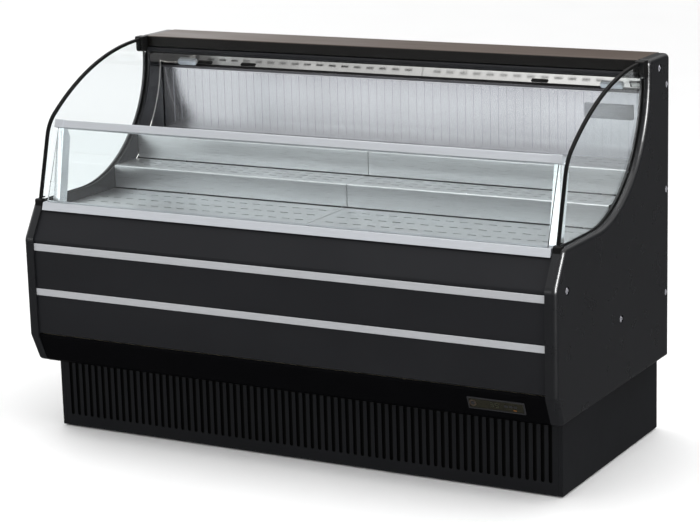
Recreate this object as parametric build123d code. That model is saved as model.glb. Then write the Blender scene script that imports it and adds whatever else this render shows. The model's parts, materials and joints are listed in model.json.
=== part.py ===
from build123d import *
from math import atan2, cos, hypot, radians, sin
import os

# Refrigerated open deli display case, free standing, 1520 mm (5 ft) long.
# Millimetres. +X runs along the case, to the right when facing its front, +Y runs to the back and +Z is
# up. The origin is on the floor under the middle of the case.

# ---------------------------------------------------------------- driving dimensions
WIDTH = 1520.0
DEPTH = 722.0
HEIGHT = 994.0

FRONT = -DEPTH / 2
BACK = DEPTH / 2
END_THICK = 30.0
INNER = WIDTH / 2 - END_THICK
SPAN = INNER - 0.5  # half length of everything that fits between the end panels

BASE_HEIGHT = 198.0
BASE_INSET = 27.0
BASE_FRONT = -266.0
BASE_BACK = 347.0
FLOOR_GAP = 4.0
SHEET = 1.5

# Side outline of the case, as (Y, Z)
CHAMFER_BOTTOM = (-326.0, BASE_HEIGHT)
CHAMFER_TOP = (FRONT, 274.0)
SHOULDER = (FRONT, 536.0)
SILL = (-306.0, 626.0)
SEAT_START_Y = -115.0
SEAT_RADIUS_LOW = 342.0
SEAT_TURN_LOW = 60.0
SEAT_RADIUS_HIGH = 302.0
SEAT_TOP_Z = 948.0

# Glass
GLASS = 6.0
GLASS_X = 740.0
GROOVE_WIDTH = 10.0
GROOVE_DEPTH = 12.0
GLASS_SEAT = 10.0
LEAN_FOOT = (-306.0, 629.0)
LEAN = 19.3
SILL_RAIL_TOP = 625.0

# Front skin, stripes and controller
SKIN_FRONT = -355.0
SKIN = 2.0
STRIPE_PROUD = 2.5
STRIPES = {"trim_strip_upper": (504.0, 523.0), "trim_strip_lower": (384.0, 402.0)}
SHADOW_GAP = 3.0
CONTROLLER_X = 595.5
CONTROLLER_SIZE = (151.0, 35.0)
CONTROLLER_DEPTH = 31.0

# Insulated tub
TUB_FRONT = -305.0
TUB_BACK = 316.0
TUB_FLOOR = 250.0
LIP_Z = 603.0
REAR_SKIN = 359.0
DUCT_Y = 284.0

# Display levels: (front edge Y, rear edge Y, top Z, bottom of the front riser)
DECK = (-222.0, 21.0, 600.0, 580.0)
MIDDLE_STEP = (26.0, 141.0, 662.0, 602.0)
TOP_STEP = (146.0, 281.0, 728.0, 664.0)
PAN_SHEET = 1.2
PAN_END = INNER - 3.5
PAN_GAP = 1.0

# Canopy
CANOPY_FRONT = 218.0
LAMP_Z = 899.5

# Fans
EVAP_FAN_X = 330.0
EVAP_FAN_Z = 400.0
EVAP_FAN_R = 95.0
FAN_PLATE_Y = 60.0
COND_FAN_X = 350.0
COND_FAN_Z = 104.0
COND_FAN_R = 74.0
SHROUD_Y = -158.0
SHAFT_R = 3.0
SHAFT_CLEARANCE = 0.05


# ---------------------------------------------------------------- helpers
def block(x, y, z):
    """Box between pairs of limits along X, Y and Z."""
    size = Box(x[1] - x[0], y[1] - y[0], z[1] - z[0])
    return Pos((x[0] + x[1]) / 2, (y[0] + y[1]) / 2, (z[0] + z[1]) / 2) * size


def yz_face(points, x=0.0):
    """Flat face from (Y, Z) corners, standing at one X."""
    return make_face(Polyline(*[(x, y, z) for y, z in points], close=True))


def prism(points, x):
    """Side outline given as (Y, Z) corners, carried from one X to another."""
    return extrude(yz_face(points, x[0]), amount=x[1] - x[0], dir=(1, 0, 0))


def offset_corners(points, distance):
    """Corners of a folded line moved sideways, to its left when distance is positive."""
    turned = []
    headings = [atan2(b[1] - a[1], b[0] - a[0]) for a, b in zip(points, points[1:])]
    headings = [headings[0]] + headings + [headings[-1]]
    for point, before, after in zip(points, headings, headings[1:]):
        middle = (before + after) / 2
        if abs(after - before) > radians(180):
            middle += radians(180)
        reach = distance / cos((after - before) / 2)
        if abs(after - before) > radians(180):
            reach = -reach
        turned.append((point[0] - reach * sin(middle), point[1] + reach * cos(middle)))
    return turned


def folded_sheet(points, thickness, x, bend=0.0):
    """Sheet folded along a (Y, Z) line, with its metal to the left and an inside bend radius."""
    moved = offset_corners(points, thickness)
    face = yz_face(points + moved[::-1], x[0])
    if bend:
        for before, here, after, beside in zip(points, points[1:], points[2:], moved[1:]):
            arriving = (here[0] - before[0], here[1] - before[1])
            leaving = (after[0] - here[0], after[1] - here[1])
            turn = arriving[0] * leaving[1] - arriving[1] * leaving[0]
            outer, inner = (here, beside) if turn > 0 else (beside, here)
            face = fillet(nearest(face.vertices(), *outer), bend + thickness)
            face = fillet(nearest(face.vertices(), *inner), bend)
    return extrude(face, amount=x[1] - x[0], dir=(1, 0, 0))


def both_ends(shape):
    """The shape and its mirror image in the middle of the case, as separate solids."""
    return Compound(children=[*shape.solids(), *mirror(shape, about=Plane.YZ).solids()])


def together(shapes):
    """Separate solids that share one node."""
    return Compound(children=[solid for shape in shapes for solid in shape.solids()])


def save(name, shape):
    export_step(shape, f"parts/{name}.step")


# ---------------------------------------------------------------- side outline and glass outline
def seat_path(depth):
    """Edges of the curved seat for the side glass, moved into the end panel by depth."""
    low_centre = (0, SEAT_START_Y, SILL[1] + SEAT_RADIUS_LOW)
    side = Plane(origin=low_centre, x_dir=(0, 1, 0), z_dir=(1, 0, 0))
    low = CenterArc((0, 0), SEAT_RADIUS_LOW + depth, -90, SEAT_TURN_LOW)
    shift = SEAT_RADIUS_LOW - SEAT_RADIUS_HIGH
    turn = radians(SEAT_TURN_LOW - 90)
    high_centre = (shift * cos(turn), shift * sin(turn))
    high = CenterArc(high_centre, SEAT_RADIUS_HIGH + depth, SEAT_TURN_LOW - 90, 90 - SEAT_TURN_LOW)
    return [side * low, side * high]


def seat_face(depth_from, depth_to, start_y):
    """Band that follows the glass seat between two depths, from start_y to the top of the seat."""
    upper = seat_path(depth_from)
    lower = seat_path(depth_to)
    upper_z = SILL[1] - depth_from
    lower_z = SILL[1] - depth_to
    edges = [
        Line((0, start_y, lower_z), (0, SEAT_START_Y, lower_z)),
        *lower,
        Line(lower[1] @ 1, upper[1] @ 1),
        *upper,
        Line((0, SEAT_START_Y, upper_z), (0, start_y, upper_z)),
        Line((0, start_y, upper_z), (0, start_y, lower_z)),
    ]
    return make_face(edges)


def nearest(vertices, y, z):
    return min(vertices, key=lambda v: hypot(v.Y - y, v.Z - z))


def end_outline():
    """Side outline of an end panel."""
    seat = seat_path(0)
    seat_end = seat[1] @ 1
    front_corners = [(BACK, BASE_HEIGHT), CHAMFER_BOTTOM, CHAMFER_TOP, SHOULDER, SILL]
    front_corners.append((SEAT_START_Y, SILL[1]))
    edges = [Polyline(*[(0, y, z) for y, z in front_corners]), *seat]
    top_corners = [(seat_end.Y, seat_end.Z), (seat_end.Y, HEIGHT), (BACK, HEIGHT), (BACK, BASE_HEIGHT)]
    edges.append(Polyline(*[(0, y, z) for y, z in top_corners]))
    face = make_face(edges)
    rounds = [(CHAMFER_BOTTOM, 14), (CHAMFER_TOP, 16), (SHOULDER, 30), (SILL, 16)]
    rounds += [((seat_end.Y, HEIGHT), 14), ((BACK, HEIGHT), 14)]
    for (y, z), radius in rounds:
        face = fillet(nearest(face.vertices(), y, z), radius)
    return face


GLASS_FOOT = (-305.0, 630.0)
GLASS_CORNER = (-251.0, 824.0)
GLASS_CORNER_ROUND = 100.0
GLASS_CREST = (0.0, 959.0)
GLASS_TIP = (188.0, 989.0)
GLASS_START_Y = -292.0
CLAMP_BACK = 216.0


def side_glass_outline():
    """Side glass: leaning front edge, a bend, then a long arc up to the canopy."""
    seat = seat_path(GLASS_SEAT)
    seat_end = seat[1] @ 1
    seat_z = SILL[1] - GLASS_SEAT
    tail = [GLASS_TIP, (CLAMP_BACK, GLASS_TIP[1]), (CLAMP_BACK, SEAT_TOP_Z), (seat_end.Y, seat_end.Z)]
    toe = [(SEAT_START_Y, seat_z), (GLASS_START_Y, seat_z), (GLASS_START_Y, GLASS_FOOT[1]), GLASS_FOOT]
    edges = [
        Line((0, *GLASS_FOOT), (0, *GLASS_CORNER)),
        ThreePointArc((0, *GLASS_CORNER), (0, *GLASS_CREST), (0, *GLASS_TIP)),
        Polyline(*[(0, y, z) for y, z in tail]),
        *seat,
        Polyline(*[(0, y, z) for y, z in toe]),
    ]
    face = make_face(edges)
    return fillet(nearest(face.vertices(), *GLASS_CORNER), GLASS_CORNER_ROUND)


def lean(up, inward):
    """(Y, Z) of a point measured up the leaning front glass and in from its outer face."""
    angle = radians(LEAN)
    y = LEAN_FOOT[0] + up * sin(angle) + inward * cos(angle)
    z = LEAN_FOOT[1] + up * cos(angle) - inward * sin(angle)
    return y, z


def lean_at_z(inward, z):
    """(Y, Z) on the plane parallel to the front glass, where it reaches a height."""
    angle = radians(LEAN)
    up = (z - LEAN_FOOT[1] + inward * sin(angle)) / cos(angle)
    return lean(up, inward)


# ---------------------------------------------------------------- base
TUBE = 30.0
FRAME_X = 725.0
FRAME_Y = (-248.0, 340.0)
FRAME_LOW = 12.0
FRAME_TOP = 197.0
FOOT_R = 24.0


def base_frame():
    """Welded box frame: two rings of square tube, four corner posts and four cross members."""
    tubes = []
    y_front = (FRAME_Y[0], FRAME_Y[0] + TUBE)
    y_rear = (FRAME_Y[1] - TUBE, FRAME_Y[1])
    y_between = (y_front[1], y_rear[0])
    x_ends = [(-FRAME_X, -FRAME_X + TUBE), (FRAME_X - TUBE, FRAME_X)]
    rings = [(FRAME_LOW, FRAME_LOW + TUBE), (FRAME_TOP - TUBE, FRAME_TOP)]
    for z in rings:
        tubes += [block((-FRAME_X, FRAME_X), y, z) for y in (y_front, y_rear)]
        tubes += [block(x, y_between, z) for x in x_ends]
    for x in x_ends:
        tubes += [block(x, y, (rings[0][1], rings[1][0])) for y in (y_front, y_rear)]
    for x in (-550.0, -350.0, -215.0, 15.0):
        tubes.append(block((x - TUBE / 2, x + TUBE / 2), y_between, rings[0]))
    return together(tubes)


def levelling_feet():
    """Four screw feet, set down on their pads."""
    feet = []
    for x in (-FRAME_X + TUBE, FRAME_X - TUBE):
        for y in (FRAME_Y[0] + TUBE, FRAME_Y[1] - TUBE):
            pad = Pos(x, y, 2.5) * Cylinder(FOOT_R, 5)
            nut = Pos(x, y, 8.5) * extrude(RegularPolygon(10, 6), amount=3.5, both=True)
            feet.append(pad + nut)
    return together(feet)


SIDE_RETURN = 12.0
SIDE_X = WIDTH / 2 - BASE_INSET


def base_side(sign):
    """Side sheet of the base, with short returns round the front and rear corners."""
    z = (FLOOR_GAP, BASE_HEIGHT - 0.5)
    side = block((SIDE_X - SHEET, SIDE_X), (BASE_FRONT, BASE_BACK), z)
    side += block((SIDE_X - SIDE_RETURN, SIDE_X), (BASE_FRONT, BASE_FRONT + SHEET), z)
    side += block((SIDE_X - SIDE_RETURN, SIDE_X), (BASE_BACK - SHEET, BASE_BACK), z)
    return side if sign > 0 else mirror(side, about=Plane.YZ)


SLOT_COUNT = 69
SLOT_PITCH = 20.6
SLOT_WIDTH = 10.6
SLOT_Z = (34.0, 188.0)
GRILLE_X = SIDE_X - SIDE_RETURN - 0.5


def slot_row(count, pitch, width, z, y):
    """Upright round-ended slots in a row along X, cut through a sheet at y."""
    middle_z = (z[0] + z[1]) / 2
    outline = SlotOverall(z[1] - z[0], width, rotation=90)
    slots = []
    for index in range(count):
        x = (index - (count - 1) / 2) * pitch
        plane = Plane(origin=(x, y, middle_z), x_dir=(1, 0, 0), z_dir=(0, -1, 0))
        slots.append(extrude(plane * outline, amount=4, both=True))
    return slots


def kick_grille():
    """Front grille of the base: upright slots, folded back at top and bottom."""
    y = (BASE_FRONT, BASE_FRONT + SHEET)
    x = (-GRILLE_X, GRILLE_X)
    sheet = block(x, y, (FLOOR_GAP, BASE_HEIGHT - 1))
    sheet -= slot_row(SLOT_COUNT, SLOT_PITCH, SLOT_WIDTH, SLOT_Z, BASE_FRONT)
    fold = (BASE_FRONT, BASE_FRONT + 12)
    sheet += block(x, fold, (FLOOR_GAP, FLOOR_GAP + SHEET))
    sheet += block(x, fold, (BASE_HEIGHT - 1 - SHEET, BASE_HEIGHT - 1))
    return sheet


def rear_grille():
    """Rear sheet of the base with two fields of upright air slots."""
    sheet = block((-GRILLE_X, GRILLE_X), (BASE_BACK - SHEET, BASE_BACK), (FLOOR_GAP, BASE_HEIGHT - 1))
    field = slot_row(18, 22.0, 8.0, (50.0, 160.0), BASE_BACK)
    for x in (-430, 380):
        sheet -= [Pos(x, 0, 0) * slot for slot in field]
    return sheet


# ---------------------------------------------------------------- refrigeration in the base
COMPRESSOR_AT = (-450.0, 120.0)


def compressor():
    """Hermetic compressor: domed shell on a foot plate."""
    x, y = COMPRESSOR_AT
    shell = Pos(x, y, 118) * Cylinder(76, 132)
    shell = fillet(shell.edges().filter_by(GeomType.CIRCLE), 32)
    plate = block((x - 125, x + 125), (y - 85, y + 85), (48, 52))
    body = shell + plate
    body += Pos(x, y - 76, 120) * Box(60, 30, 50)
    for dx in (-100, 100):
        for dy in (-65, 65):
            body += Pos(x + dx, y + dy, 45) * Cylinder(14, 6)
    return body


def finned_coil(x, y, z, fin_gap, tube_rows):
    """Coil block: two end plates, a stack of fins and straight tubes through them."""
    ends = [block((end - 1.5, end + 1.5), y, z) for end in x]
    count = int((x[1] - x[0]) / fin_gap)
    step = (x[1] - x[0]) / count
    fins = [block((x[0] + i * step - 1, x[0] + i * step + 1), y, z) for i in range(1, count)]
    tubes = []
    for row in range(tube_rows):
        height = z[0] + (z[1] - z[0]) * (row + 0.5) / tube_rows
        tube = Cylinder(6, x[1] - x[0] + 24, rotation=(0, 90, 0))
        tubes.append(Pos((x[0] + x[1]) / 2, (y[0] + y[1]) / 2, height) * tube)
    return tubes[0].fuse(*tubes[1:], *ends, *fins)


def condenser_coil():
    return finned_coil((250, 450), (-216, -171), (14, 194), 20, 5)


def fan_blade(x, y, z, radius, depth):
    """Five pitched blades on a hub that runs on the motor shaft."""
    hub = Cylinder(18, depth)
    for index in range(5):
        blade = Pos(radius / 2 + 8, 0, 0) * Rot(28, 0, 0) * Box(radius, radius * 0.6, 2)
        hub += Rot(0, 0, index * 72) * blade
    blades = hub & Cylinder(radius, depth)
    blades -= Cylinder(SHAFT_R + SHAFT_CLEARANCE, depth * 2)
    return Pos(x, y, z) * Rot(90, 0, 0) * blades


def fan_motor(x, y, z, reach, span):
    """Motor on a bridge bracket behind its fan, with its shaft forward through the hub."""
    motor = Cylinder(32, 44) + Pos(0, 0, 22 + reach / 2) * Cylinder(SHAFT_R, reach)
    motor += Pos(0, 0, -24) * Box(2 * span, 24, 4)
    for side in (-1, 1):
        leg = block((span - 4, span), (-12, 12), (-22, reach + 18))
        motor += leg if side > 0 else mirror(leg, about=Plane.YZ)
    return Pos(x, y, z) * Rot(90, 0, 0) * motor


def fan_plate(x, y, z, holes, radius):
    """Upright sheet with a round opening for each fan."""
    plate = block(x, (y, y + SHEET), z)
    for centre_x, centre_z in holes:
        plate -= Pos(centre_x, y, centre_z) * Rot(90, 0, 0) * Cylinder(radius, 8)
    return plate


def condenser_shroud():
    plate = fan_plate((235, 465), SHROUD_Y, (14, 194), [(COND_FAN_X, COND_FAN_Z)], COND_FAN_R + 5)
    for x in (235, 463.5):
        plate += block((x, x + SHEET), (-217, SHROUD_Y + SHEET), (14, 194))
    return plate


def condensate_pan():
    """Open tray that catches and evaporates the defrost water."""
    tray = block((-235, 35), (90, 290), (42, 92))
    return tray - block((-233.5, 33.5), (91.5, 288.5), (43.5, 100))


def refrigerant_pipes():
    """Discharge and liquid lines between the compressor, the condenser and the cabinet floor."""
    x, y = COMPRESSOR_AT
    routes = [
        [(x + 86, y, 150), (x + 150, y, 150), (x + 150, -100, 150), (225, -100, 150), (225, -150, 150)],
        [(x + 86, y + 30, 110), (x + 190, y + 30, 110), (x + 190, 40, 110), (x + 190, 40, 190)],
    ]
    pipes = []
    for points in routes:
        path = FilletPolyline(*points, radius=20)
        pipes.append(sweep(Plane(origin=path @ 0, z_dir=path % 0) * Circle(5), path=path))
    return together(pipes)


# ---------------------------------------------------------------- insulated tub
def cabinet_floor():
    return block((-SPAN, SPAN), (-313, REAR_SKIN - SHEET), (197.5, 199.5))


FOAM_FRONT = SKIN_FRONT + SKIN
FOAM_BOTTOM = 200.0
FOAM_BACK = REAR_SKIN - SHEET


def foam_insulation():
    """Foam slabs of the front wall, its lip, the floor and the rear wall."""
    x = (-SPAN, SPAN)
    shelf = SKIN_BOTTOM + SKIN + 1
    outline = [(FOAM_FRONT, shelf), (FOAM_FRONT, 532), (TUB_FRONT, 532), (TUB_FRONT, FOAM_BOTTOM + 1)]
    outline += [(-318, FOAM_BOTTOM + 1), (SKIN_RETURN_Y + 1, 258), (SKIN_RETURN_Y + 1, shelf)]
    wall = prism(outline, x)
    pocket = Box(CONTROLLER_SIZE[0] - 4, CONTROLLER_SIZE[1] - 4, CONTROLLER_DEPTH + 6)
    wall -= chamfer_plane() * Pos(0, 0, -CONTROLLER_DEPTH / 2) * pocket
    lip = prism([(FOAM_FRONT, 532), (-310.5, LIP_Z), (-286, LIP_Z), (-286, 560), (TUB_FRONT, 532)], x)
    floor = block(x, (TUB_FRONT, TUB_BACK), (FOAM_BOTTOM, TUB_FLOOR))
    rear = block(x, (TUB_BACK, FOAM_BACK), (FOAM_BOTTOM, 985))
    skin = front_panel()
    return together([wall - skin, lip - skin, floor, rear])


def tub_liner():
    """Stainless lining of the tub: front wall, floor and rear wall in one folded sheet."""
    line = [(-286, LIP_Z), (-286, 560), (TUB_FRONT, 532), (TUB_FRONT, TUB_FLOOR)]
    line += [(TUB_BACK, TUB_FLOOR), (TUB_BACK, 985)]
    return folded_sheet(line, 1.0, (-SPAN, SPAN))


def rear_panel():
    """Outer back sheet with two pressed panels."""
    sheet = block((-SPAN, SPAN), (REAR_SKIN - SHEET, REAR_SKIN), (FOAM_BOTTOM, 985))
    for x in (-365, 365):
        sheet += block((x - 320, x + 320), (REAR_SKIN, REAR_SKIN + 1), (260, 900))
    return sheet


SKIN_BOTTOM = 279.6
SKIN_RETURN_Y = SKIN_FRONT + 13


def front_panel():
    """Painted front skin: upright below, leaning back above, folded in at the top and the bottom."""
    x = (-SPAN, SPAN)
    joint = (SKIN_FRONT, 300)
    skin = folded_sheet([(-286, 605), (-312, 605), (SKIN_FRONT, 534), joint], SKIN, x, bend=8)
    foot = folded_sheet([joint, (SKIN_FRONT, SKIN_BOTTOM), (SKIN_RETURN_Y, SKIN_BOTTOM)], SKIN, x, bend=1)
    panel = skin + foot
    for low, high in STRIPES.values():
        gap = block((-WIDTH, WIDTH), (SKIN_FRONT - 1, SKIN_FRONT + 1), (high, high + SHADOW_GAP))
        panel -= gap
    return panel


def trim_strip(z):
    """Bright flat strip with eased edges, standing a little proud of the front skin."""
    strip = block((-SPAN, SPAN), (SKIN_FRONT - STRIPE_PROUD, SKIN_FRONT), z)
    edges = strip.edges().filter_by(Axis.X).group_by(Axis.Y)[0]
    return fillet(edges, 1.2)


FASCIA_TOP = (-356.0, 279.0)
FASCIA_BEND = (-356.0, 272.0)
FASCIA_FOOT = (-328.0, 204.0)


def chamfer_plane():
    """Working plane on the fascia's slope: X across, Y up the slope, Z outwards."""
    run_y = FASCIA_FOOT[0] - FASCIA_BEND[0]
    run_z = FASCIA_FOOT[1] - FASCIA_BEND[1]
    length = hypot(run_y, run_z)
    middle = (CONTROLLER_X, FASCIA_BEND[0] + run_y * 0.5, FASCIA_BEND[1] + run_z * 0.5)
    return Plane(origin=middle, x_dir=(1, 0, 0), z_dir=(0, run_z / length, -run_y / length))


def lower_fascia():
    """Moulded lower fascia under the front skin, with a cut-out for the controller."""
    line = [FASCIA_TOP, FASCIA_BEND, FASCIA_FOOT, (-318, 197), (-314, 197)]
    fascia = folded_sheet(line, 2.5, (-SPAN, SPAN))
    opening = Box(CONTROLLER_SIZE[0] - 8, CONTROLLER_SIZE[1] - 8, 20)
    return fascia - chamfer_plane() * opening


BEZEL = 2.0
BODY_FRONT = 1.5
BUTTON_X = -62.0
BUTTON_R = 4.5
BUTTON_CLEARANCE = 0.4
WINDOW = (143.0, 27.0)


def controller_bezel():
    """Slim frame round the controller window."""
    frame = Pos(0, 0, BEZEL / 2 + 0.1) * Box(*CONTROLLER_SIZE, BEZEL)
    frame = fillet(frame.edges().filter_by(Axis.Z), 3)
    front = frame.faces().sort_by(Axis.Z)[-1]
    frame = fillet(front.edges(), 0.8)
    return chamfer_plane() * (frame - Box(*WINDOW, 10))


def controller_window():
    """Tinted window of the controller, with a hole for the set button."""
    pane = Pos(0, 0, 0.3) * Box(WINDOW[0] - 0.4, WINDOW[1] - 0.4, 1.6)
    pane -= Pos(BUTTON_X, 0, 0) * Cylinder(BUTTON_R + BUTTON_CLEARANCE, 10)
    return chamfer_plane() * pane


def controller_body():
    """Controller case behind the bezel, hollowed where the button presses in."""
    depth = CONTROLLER_DEPTH - BODY_FRONT
    body = Pos(0, 0, -BODY_FRONT - depth / 2) * Box(CONTROLLER_SIZE[0] - 9, CONTROLLER_SIZE[1] - 9, depth)
    body -= Pos(BUTTON_X, 0, -5) * Cylinder(BUTTON_R + 1, 12)
    return chamfer_plane() * body


def set_button():
    """Round push button with a domed cap."""
    cap = Pos(0, 0, -0.5) * Cylinder(BUTTON_R, 8)
    top = cap.edges().filter_by(GeomType.CIRCLE).sort_by(Axis.Z)[-1]
    return chamfer_plane() * Pos(BUTTON_X, 0, 0) * fillet(top, 1.2)


# ---------------------------------------------------------------- air system and display steps
def evaporator_coil():
    return finned_coil((-600, 600), (-140, 20), (300, 460), 24, 4)


def evaporator_fan_plate():
    holes = [(-EVAP_FAN_X, EVAP_FAN_Z), (EVAP_FAN_X, EVAP_FAN_Z)]
    return fan_plate((-SPAN + 2, SPAN - 2), FAN_PLATE_Y, (TUB_FLOOR + 1.5, 570), holes, EVAP_FAN_R + 6)


def fan_motors():
    """The condenser fan motor and the evaporator fan motors."""
    motors = [fan_motor(COND_FAN_X, SHROUD_Y + 71, COND_FAN_Z, 48, 95)]
    for x in (-EVAP_FAN_X, EVAP_FAN_X):
        motors.append(fan_motor(x, FAN_PLATE_Y + 74, EVAP_FAN_Z, 50, 115))
    return together(motors)


def rear_duct_panel():
    """Ribbed back wall of the display, in front of the air duct."""
    panel = block((-SPAN + 2, SPAN - 2), (DUCT_Y, DUCT_Y + PAN_SHEET), (TUB_FLOOR + 1.5, LAMP_Z + 11))
    ribs = []
    pitch = 24.0
    for index in range(-29, 30):
        x = index * pitch
        ribs.append(block((x - 3, x + 3), (DUCT_Y - 1, DUCT_Y), (740, LAMP_Z - 4)))
    panel = panel.fuse(*ribs)
    slots = slot_row(40, 34.0, 6.0, (330, 470), DUCT_Y)
    return panel - slots


def display_pan(level, x):
    """One removable display pan: front riser, perforated top and a short rear fold."""
    front, rear, top, riser = level
    line = [(rear, top - 20), (rear, top), (front, top), (front, riser)]
    pan = folded_sheet(line, PAN_SHEET, x, bend=2)
    middle_x = (x[0] + x[1]) / 2
    count = 17
    pitch = 40.0
    depth = rear - front
    for row in range(3):
        y = front + depth * (0.3 + 0.25 * row)
        for index in range(count):
            slot_x = middle_x + (index - (count - 1) / 2) * pitch
            pan -= Pos(slot_x, y, top) * extrude(SlotOverall(24, 5), amount=4, both=True)
    return pan


def step_supports():
    """Stepped uprights that carry the display pans."""
    clear = 2.6
    low = 500
    outline = []
    for front, rear, top, _ in (DECK, MIDDLE_STEP, TOP_STEP):
        shelf = top - PAN_SHEET - 0.2
        outline += [(front + clear, low), (front + clear, shelf), (rear - clear, shelf)]
        low = top - 23
        outline.append((rear - clear, low))
    front_y, rear_y = outline[0][0], outline[-1][0]
    outline[-1] = (rear_y, 500)
    legs = [(rear_y, TUB_FLOOR + 1.2), (rear_y - 20, TUB_FLOOR + 1.2), (rear_y - 20, 500)]
    legs += [(front_y + 20, 500), (front_y + 20, TUB_FLOOR + 1.2), (front_y, TUB_FLOOR + 1.2)]
    uprights = []
    for x in (-660, -20, 18, 658):
        upright = prism(outline[1:-1] + legs, (x, x + 2))
        upright -= block((x - 1, x + 3), (FAN_PLATE_Y - 1, FAN_PLATE_Y + SHEET + 1), (400, 571))
        uprights.append(upright)
    return together(uprights)


def return_air_grille():
    """Slotted air return between the front rail and the deck."""
    grille = block((-SPAN + 2, SPAN - 2), (-284, DECK[0] - 2), (598, 604))
    count = 60
    for index in range(count):
        x = (index - (count - 1) / 2) * 23.5
        grille -= block((x - 8, x + 8), (-278, DECK[0] - 8), (590, 610))
    return grille


# ---------------------------------------------------------------- end panels and side glass
SCREWS_AT = [(290, 964), (342, 916), (342, 645), (342, 373), (-295, 523), (37, 375)]
SCREW_RECESS_R = 11.0
SCREW_RECESS = 4.0
STAR_ARM = (17.0, 7.0)
END_ROUND = 13.0


def end_panel(sign):
    """Moulded end panel with a rounded outer edge, a glass groove and screw recesses."""
    outer = WIDTH / 2
    panel = extrude(Pos(INNER, 0, 0) * end_outline(), amount=END_THICK, dir=(1, 0, 0))
    outer_face = panel.faces().sort_by(Axis.X)[-1]
    panel = fillet(outer_face.edges(), END_ROUND)
    groove = Pos(GLASS_X - GROOVE_WIDTH / 2, 0, 0) * seat_face(-2, GROOVE_DEPTH, GLASS_START_Y - 1)
    panel -= extrude(groove, amount=GROOVE_WIDTH, dir=(1, 0, 0))
    for y, z in SCREWS_AT:
        recess = Cylinder(SCREW_RECESS_R, SCREW_RECESS * 2, rotation=(0, 90, 0))
        panel -= Pos(outer, y, z) * recess
    return panel if sign > 0 else mirror(panel, about=Plane.YZ)


def screws():
    """Star-head screws in the recesses of both end panels: four rounded arms and a cross slot."""
    arm = extrude(SlotOverall(*STAR_ARM), amount=3)
    head = arm + Rot(0, 0, 90) * arm
    head = fillet(head.faces().sort_by(Axis.Z)[-1].edges(), 0.8)
    head -= Pos(0, 0, 3) * (Box(6, 1.4, 2.4) + Box(1.4, 6, 2.4))
    heads = [Pos(WIDTH / 2 - SCREW_RECESS, y, z) * Rot(0, 90, 0) * head for y, z in SCREWS_AT]
    return both_ends(together(heads))


LINER_TOP = 944.0


def end_liners():
    """Dark linings on the inner faces of the end panels, up to the air outlet."""
    front, back = DECK[0] - 60, DUCT_Y - 2
    low, high = TUB_FLOOR + 2, LINER_TOP
    window = yz_face([(front, low), (back, low), (back, high), (front, high)])
    shape = offset(end_outline() & window, -2)
    return both_ends(extrude(Pos(INNER - 2, 0, 0) * shape, amount=2, dir=(1, 0, 0)))


def side_glass(sign):
    pane = extrude(Pos(GLASS_X - GLASS / 2, 0, 0) * side_glass_outline(), amount=GLASS, dir=(1, 0, 0))
    return pane if sign > 0 else mirror(pane, about=Plane.YZ)


def glass_channels():
    """Rubber channels that seat the side glass in the end panels."""
    band = Pos(GLASS_X - GROOVE_WIDTH / 2, 0, 0) * seat_face(-1.5, GROOVE_DEPTH, GLASS_START_Y - 1)
    channel = extrude(band, amount=GROOVE_WIDTH, dir=(1, 0, 0)) - side_glass(1)
    return both_ends(channel)


EDGE_TRIM_WIDTH = 7.4
EDGE_TRIM_INSIDE = 6.5


def glass_edge_trims():
    """Dark edge strips along the front edge of each side glass."""
    outline = side_glass_outline()
    ring = offset(outline, 1.2) - offset(outline, -EDGE_TRIM_INSIDE)
    inside = [(-280, 633), (-200, 780), (-100, 860), (0, 920), (100, 950), (188, 960)]
    keep = yz_face([(-340, 633), *inside, (188, HEIGHT + 6), (-340, HEIGHT + 6)])
    band = Pos(GLASS_X - EDGE_TRIM_WIDTH / 2, 0, 0) * (ring & keep)
    trim = extrude(band, amount=EDGE_TRIM_WIDTH, dir=(1, 0, 0)) - side_glass(1)
    return both_ends(trim)


def glass_clamps():
    """Black blocks that hold the side glass: at the canopy and at the front sill."""
    seat_end = seat_path(0)[1] @ 1
    top = block((731, 755), (193, seat_end.Y - 0.2), (952, HEIGHT))
    top = fillet(nearest_edge(top, 193, 952), 10)
    top = fillet(nearest_edge(top, 193, HEIGHT), 5)
    cap = block((731, 751), (-313, GLASS_START_Y - 1.2), (612, 632))
    cap = fillet(cap.edges().filter_by(Axis.X).group_by(Axis.Z)[-1], 5)
    cap -= end_panel(1)
    cap = max(cap.solids(), key=lambda solid: solid.volume)
    return both_ends(together([top - side_glass(1), cap - side_glass(1)]))


# ---------------------------------------------------------------- front glass and rails
GLASS_UP = (-17.0, 204.0)
RAIL_UP = (194.5, 215.0)
RAIL_INWARD = (-4.0, 27.6)
POST_X = (702.0, 722.0)
UPPER_RAIL_END = 724.0
UPPER_FITTING = 26.0
SILL_RAIL_END = SPAN - 3.5
FITTING = 11.0


def lean_bar(up, inward, x):
    """Bar parallel to the front glass."""
    outer = [lean(up[0], inward[0]), lean(up[1], inward[0])]
    inner = [lean(up[1], inward[1]), lean(up[0], inward[1])]
    return prism(outer + inner, x)


def front_glass():
    end = SILL_RAIL_END - FITTING
    return lean_bar(GLASS_UP, (0, GLASS), (-end, end))


def lower_rail_profile(x):
    bottom = 605.2
    back = -286.4
    front_low = lean_at_z(RAIL_INWARD[0], bottom)
    front_high = lean_at_z(RAIL_INWARD[0], SILL_RAIL_TOP)
    bar = prism([front_low, front_high, (back, SILL_RAIL_TOP), (back, bottom)], x)
    return fillet(nearest_edge(bar, *front_high), 2)


def nearest_edge(shape, y, z):
    """The edge along X that is nearest to a (Y, Z) point."""
    return min(shape.edges().filter_by(Axis.X), key=lambda e: hypot(e.center().Y - y, e.center().Z - z))


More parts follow.
